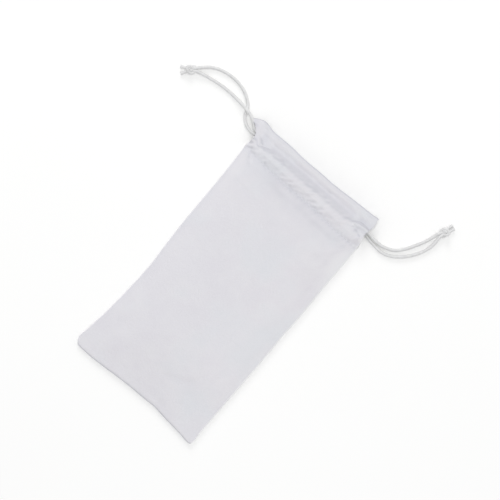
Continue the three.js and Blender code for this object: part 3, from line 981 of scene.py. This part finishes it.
def allowance(side, along, material):
    """A turned-in seam allowance of two layers, from its cut edge to the edge at the seam."""
    seam = seam_points(side, along, ALLOWANCE_INSET, HALF_WIDTH + 1)
    cut = seam_points(side, along, ALLOWANCE_INSET + SEAM_WIDTH, HALF_WIDTH + 1)
    away = (cut - seam) / np.linalg.norm(cut - seam, axis=1, keepdims=True)
    parts = []
    for low, high, turn in ALLOWANCE_LAYERS:
        frayed = cut + away * (ALLOWANCE_FRAY * np.sin(np.arange(len(cut)) * turn)[:, None])
        corners = [(frayed, low), (seam, low), (seam, high), (frayed, high)]
        lines = [np.column_stack([edge, np.full(len(edge), z)]) for edge, z in corners]
        last = 4 * len(cut) - 4
        faces = [[0, 3, 2, 1], [last, last + 1, last + 2, last + 3]]
        for first in range(0, last, 4):
            for k in range(4):
                a, b = first + k, first + (k + 1) % 4
                faces.append([a, b, b + 4, a + 4])
        parts.append((np.stack(lines, axis=1).reshape(-1, 3), faces))
    name = SEAM_NAMES[side]
    node = f"{name}_side_seam" if side else f"{name}_seam"
    piece = new_part(f"{name}_allowance", node, "seam_allowance", *joined(parts), material)
    piece.data.polygons.foreach_set("use_smooth", [False] * len(piece.data.polygons))
    follow_hem(piece, side)


def overlock(side, along, material):
    """Overlock thread that runs to and fro across an allowance's cut edge."""
    turn = np.arange(len(along)) * math.pi / 3
    (away, height), (sway, lift) = OVERLOCK_MIDDLE, OVERLOCK_SWAY
    place = seam_points(side, along, SEAM_WIDTH + away + sway * np.sin(turn))
    line = np.column_stack([place, height + lift * np.cos(turn)])
    name = SEAM_NAMES[side]
    mesh = tube(line, OVERLOCK_RADIUS, 6)
    piece = new_part(f"{name}_overlock", f"{name}_seam_thread", "thread", *mesh, material)
    follow_hem(piece, side)


def srgb(red, green, blue):
    """A colour as the picture shows it, from 0 to 255, in Blender's linear values."""
    linear = []
    for value in (red, green, blue):
        share = value / 255
        linear.append(share / 12.92 if share <= 0.04045 else ((share + 0.055) / 1.055) ** 2.4)
    return (*linear, 1)


class Nodes:
    """Short names for making the nodes of one material or world."""

    def __init__(self, owner):
        owner.use_nodes = True
        self.owner = owner
        self.tree = owner.node_tree

    def set(self, node, inputs):
        """Gives each input a value, or links it where the value is a socket."""
        for key, value in inputs.items():
            if isinstance(value, bpy.types.NodeSocket):
                self.tree.links.new(value, node.inputs[key])
            else:
                node.inputs[key].default_value = value

    def add(self, kind, inputs, **settings):
        """The outputs of a new node."""
        node = self.tree.nodes.new(kind)
        for key, value in settings.items():
            setattr(node, key, value)
        self.set(node, inputs)
        return node.outputs

    def math(self, operation, *values):
        inputs = dict(enumerate(values))
        return self.add("ShaderNodeMath", inputs, operation=operation)["Value"]

    def total(self, one, other, weight):
        """one plus weight times other."""
        return self.math("MULTIPLY_ADD", other, weight, one)

    def ramp(self, value, low, high, to=(0, 1)):
        """Spreads the part of value between low and high over 0 to 1, or over other limits."""
        inputs = {"Value": value, "From Min": low, "From Max": high}
        inputs |= {"To Min": to[0], "To Max": to[1]}
        return self.add("ShaderNodeMapRange", inputs)["Result"]

    def mix(self, share, one, other):
        """A colour that goes from one to the other."""
        inputs = {"Factor": share, "A": one, "B": other}
        return self.add("ShaderNodeMix", inputs, data_type="RGBA")["Result"]

    def place(self, scale):
        """Object place in metres, times scale, which may differ along the axes."""
        scale = scale if isinstance(scale, tuple) else (scale, scale, scale)
        place = self.add("ShaderNodeTexCoord", {})["Object"]
        return self.add("ShaderNodeMapping", {"Vector": place, "Scale": scale})["Vector"]

    def noise(self, scale, detail, rough):
        """Noise from 0 to 1, with features about 1 / scale metres apart."""
        inputs = {"Vector": self.place(scale), "Scale": 1, "Detail": detail, "Roughness": rough}
        return self.add("ShaderNodeTexNoise", inputs)["Fac"]

    def bump(self, height, strength, distance):
        """The direction of a surface with small heights, up to distance metres."""
        inputs = {"Height": height, "Strength": strength, "Distance": distance}
        return self.add("ShaderNodeBump", inputs)["Normal"]

    def tip(self):
        """Sets painted light and shade: above 0 the colour gets painted shade, where the surface
        tips along the pouch, and below 0 painted light, where it tips to a side."""
        normal = self.add("ShaderNodeTexCoord", {})["Normal"]
        parts = self.add("ShaderNodeSeparateXYZ", {"Vector": normal})
        x, y = parts["X"], parts["Y"]
        level = self.total(self.math("MULTIPLY", y, y), self.math("MULTIPLY", x, x), -LIGHT_SHADE_CROSS)
        return self.total(self.total(level, y, LIGHT_SHADE_LEAN_Y), x, -LIGHT_SHADE_LEAN_X)

    def looking_rays(self):
        """1 for rays that look at something, also by way of gloss or glass, and 0 for others."""
        path = self.add("ShaderNodeLightPath", {})
        total = self.math("MAXIMUM", path["Is Camera Ray"], path["Is Glossy Ray"])
        return self.math("MAXIMUM", total, path["Is Transmission Ray"])

    def shaded(self, inputs):
        """The material, with these inputs of its shader."""
        self.set(self.tree.nodes["Principled BSDF"], inputs)
        return self.owner


def new_material(name):
    return Nodes(bpy.data.materials.new(name))


def microfibre():
    """Soft white microfibre with a short nap, a little uneven where it was brushed. Its hollows
    get painted shade, and it gets painted shade where its surface tips along the pouch and painted
    light where it tips to a side.
    """
    n = new_material("microfibre")
    patches = n.ramp(n.noise(70, 3, 0.55), 0.32, 0.68)
    colour = n.mix(patches, srgb(228, 226, 231), srgb(233, 232, 235))
    cool = n.ramp(n.noise(38, 2, 0.5), 0.5, 0.72)
    colour = n.mix(cool, colour, srgb(227, 229, 233))
    nap = n.ramp(n.noise((1500, 2600, 1500), 4, 0.65), 0.3, 0.7)
    colour = n.mix(0.3, colour, n.mix(nap, srgb(221, 219, 224), srgb(240, 238, 242)))
    # Painted shade: bluish grey, darker the deeper the cloth lies in its hollows
    hollow_shade = n.add("ShaderNodeAttribute", {}, attribute_name="hollow_shade")["Fac"]
    colour = n.mix(n.ramp(hollow_shade, 0, HOLLOW_FULL_SHADE), colour, srgb(190, 193, 208))
    tip = n.tip()
    # Painted shade where the surface tips along the pouch, and painted light where it tips to a
    # side
    colour = n.mix(n.ramp(tip, *PAINTED_SHADE_TIPS), colour, srgb(205, 205, 211))
    colour = n.mix(n.ramp(tip, *PAINTED_LIGHT_TIPS), colour, srgb(252, 252, 253))
    uneven = n.total(n.noise((3200, 5200, 3200), 3, 0.6), n.noise(600, 2, 0.5), 0.6)
    return n.shaded({
        "Base Color": colour,
        "Roughness": n.ramp(nap, 0, 1, to=(0.88, 0.98)),
        "Normal": n.bump(uneven, 0.7, 0.00025),
        "Sheen Weight": 0.12,
        "Sheen Roughness": 0.3,
        "Specular IOR Level": 0.15,
    })


def braided_cord():
    """Round white braid with a faint satin shine on its strands."""
    n = new_material("braided_cord")
    tone = n.ramp(n.noise(400, 3, 0.6), 0.3, 0.7)
    strand = n.noise(5200, 2, 0.6)
    return n.shaded({
        "Base Color": n.mix(tone, srgb(216, 216, 216), srgb(227, 227, 227)),
        "Roughness": n.ramp(strand, -0.6, 1.2),
        "Normal": n.bump(strand, 0.3, 0.00008),
        "Sheen Weight": 0.3,
        "Specular IOR Level": 0.35,
    })


def spun_thread():
    """Fine white thread, twisted from several yarns."""
    n = new_material("spun_thread")
    tone = n.ramp(n.noise(1400, 2, 0.5), 0.3, 0.7)
    wave = {"Vector": n.place(900), "Scale": 1}
    twist = n.add("ShaderNodeTexWave", wave, wave_type="BANDS", bands_direction="DIAGONAL")
    return n.shaded({
        "Base Color": n.mix(tone, srgb(204, 204, 210), srgb(216, 216, 221)),
        "Roughness": 0.55,
        "Normal": n.bump(twist["Fac"], 0.4, 0.00005),
    })


def raw_edge():
    """The cut edge of the microfibre inside a seam, slightly darker and fuzzier."""
    n = new_material("raw_edge")
    tone = n.ramp(n.noise(900, 4, 0.7), 0.3, 0.7)
    return n.shaded({
        "Base Color": n.mix(tone, srgb(206, 206, 213), srgb(222, 222, 227)),
        "Roughness": 0.95,
        "Normal": n.bump(n.noise(2600, 4, 0.7), 0.5, 0.0002),
        "Specular IOR Level": 0.1,
    })


def table_top():
    """White table, which glows a little for looking rays, so its shadows look soft."""
    n = new_material("table_top")
    tone = n.noise(6, 2, 0.5)
    table = n.shaded({
        "Base Color": n.mix(tone, srgb(253, 253, 252), srgb(255, 255, 254)),
        "Roughness": 1,
        "Specular IOR Level": 0,
    })
    share = n.math("MULTIPLY", n.looking_rays(), TABLE_GLOW)
    plain = n.tree.nodes["Principled BSDF"].outputs["BSDF"]
    glow = n.add("ShaderNodeEmission", {"Strength": 1})["Emission"]
    shader = n.add("ShaderNodeMixShader", {"Fac": share, 1: plain, 2: glow})["Shader"]
    n.set(n.tree.nodes["Material Output"], {"Surface": shader})
    return table


def aim(item, place, side, back):
    """Puts a camera or light at a place, with its X axis and its back these ways."""
    turn = Matrix((side, np.cross(back, side), back)).transposed()
    item.matrix_world = Matrix.Translation(place) @ turn.to_4x4()


def add_camera():
    data = bpy.data.cameras.new("camera")
    data.lens = CAMERA_LENS
    data.sensor_width = 36
    data.clip_start = 0.01
    camera = add_object("camera", data)
    aim(camera, CAMERA_PLACE, CAMERA_RIGHT, (0, 0, 1))
    bpy.context.scene.camera = camera


def add_light(name, place, size, power):
    """A square soft light that faces the pouch."""
    data = bpy.data.lights.new(name, "AREA")
    data.size = size
    data.energy = power
    back = np.array(place) / np.linalg.norm(place)
    side = np.cross((0, 1, 0), back)
    aim(add_object(name, data), place, side / np.linalg.norm(side), back)


def add_world():
    """Even light from all round, and plain white for looking rays."""
    world = bpy.data.worlds.new("studio")
    n = Nodes(world)
    colour = n.mix(n.looking_rays(), AMBIENT, (1, 1, 1, 1))
    n.set(n.tree.nodes["Background"], {"Color": colour})
    bpy.context.scene.world = world


def add_table(material):
    mesh = bpy.data.meshes.new("table")
    near, far = -TABLE_HALF, TABLE_HALF
    corners = [(near, near, 0), (far, near, 0), (far, far, 0), (near, far, 0)]
    mesh.from_pydata(corners, [], [(0, 1, 2, 3)])
    mesh.materials.append(material)
    table = add_object("table", mesh)
    table.location.z = -TABLE_DROP


def add_cords():
    """Both drawstrings: their knots and tails, and then their runs in the hem."""
    cord = braided_cord()
    for place, (middle, angle, spread) in KNOTS.items():
        tied = knot(place, middle, angle, spread, cord)
        for strand, points in TAILS[place].items():
            tail(f"{place}_tail_{strand}", points, tied, cord)
    for side in RUNS:
        cord_loop(side, cord)


def add_cloth():
    """The front and the back sheet, each in two halves."""
    cloth = microfibre()
    for sheet, (surface, depth) in (("back", back_cloth()), ("front", front_cloth())):
        for side, place in SIDE_NAMES.items():
            piece = cloth_half(f"{sheet}_cloth_{place}", surface, depth, side, cloth)
            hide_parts(f"{sheet}_panel", f"{sheet}_casing")


def add_sewing():
    """The hem's stitches, and the seam allowances with their overlock threads."""
    thread = spun_thread()
    edge = raw_edge()
    for side in SIDE_NAMES:
        hem_stitches("front", side, thread)
        hem_stitches("back", side, thread)
        allowance(side, SIDE_SEAM_Y, edge)
        overlock(side, SIDE_THREAD_Y, thread)
    allowance(0, BOTTOM_SEAM_X, edge)
    overlock(0, BOTTOM_THREAD_X, thread)


bpy.context.scene.view_settings.view_transform = "Standard"
add_camera()
add_cords()
add_cloth()
add_sewing()
add_table(table_top())
add_world()
for light_name, light in LIGHTS.items():
    add_light(light_name, *light)
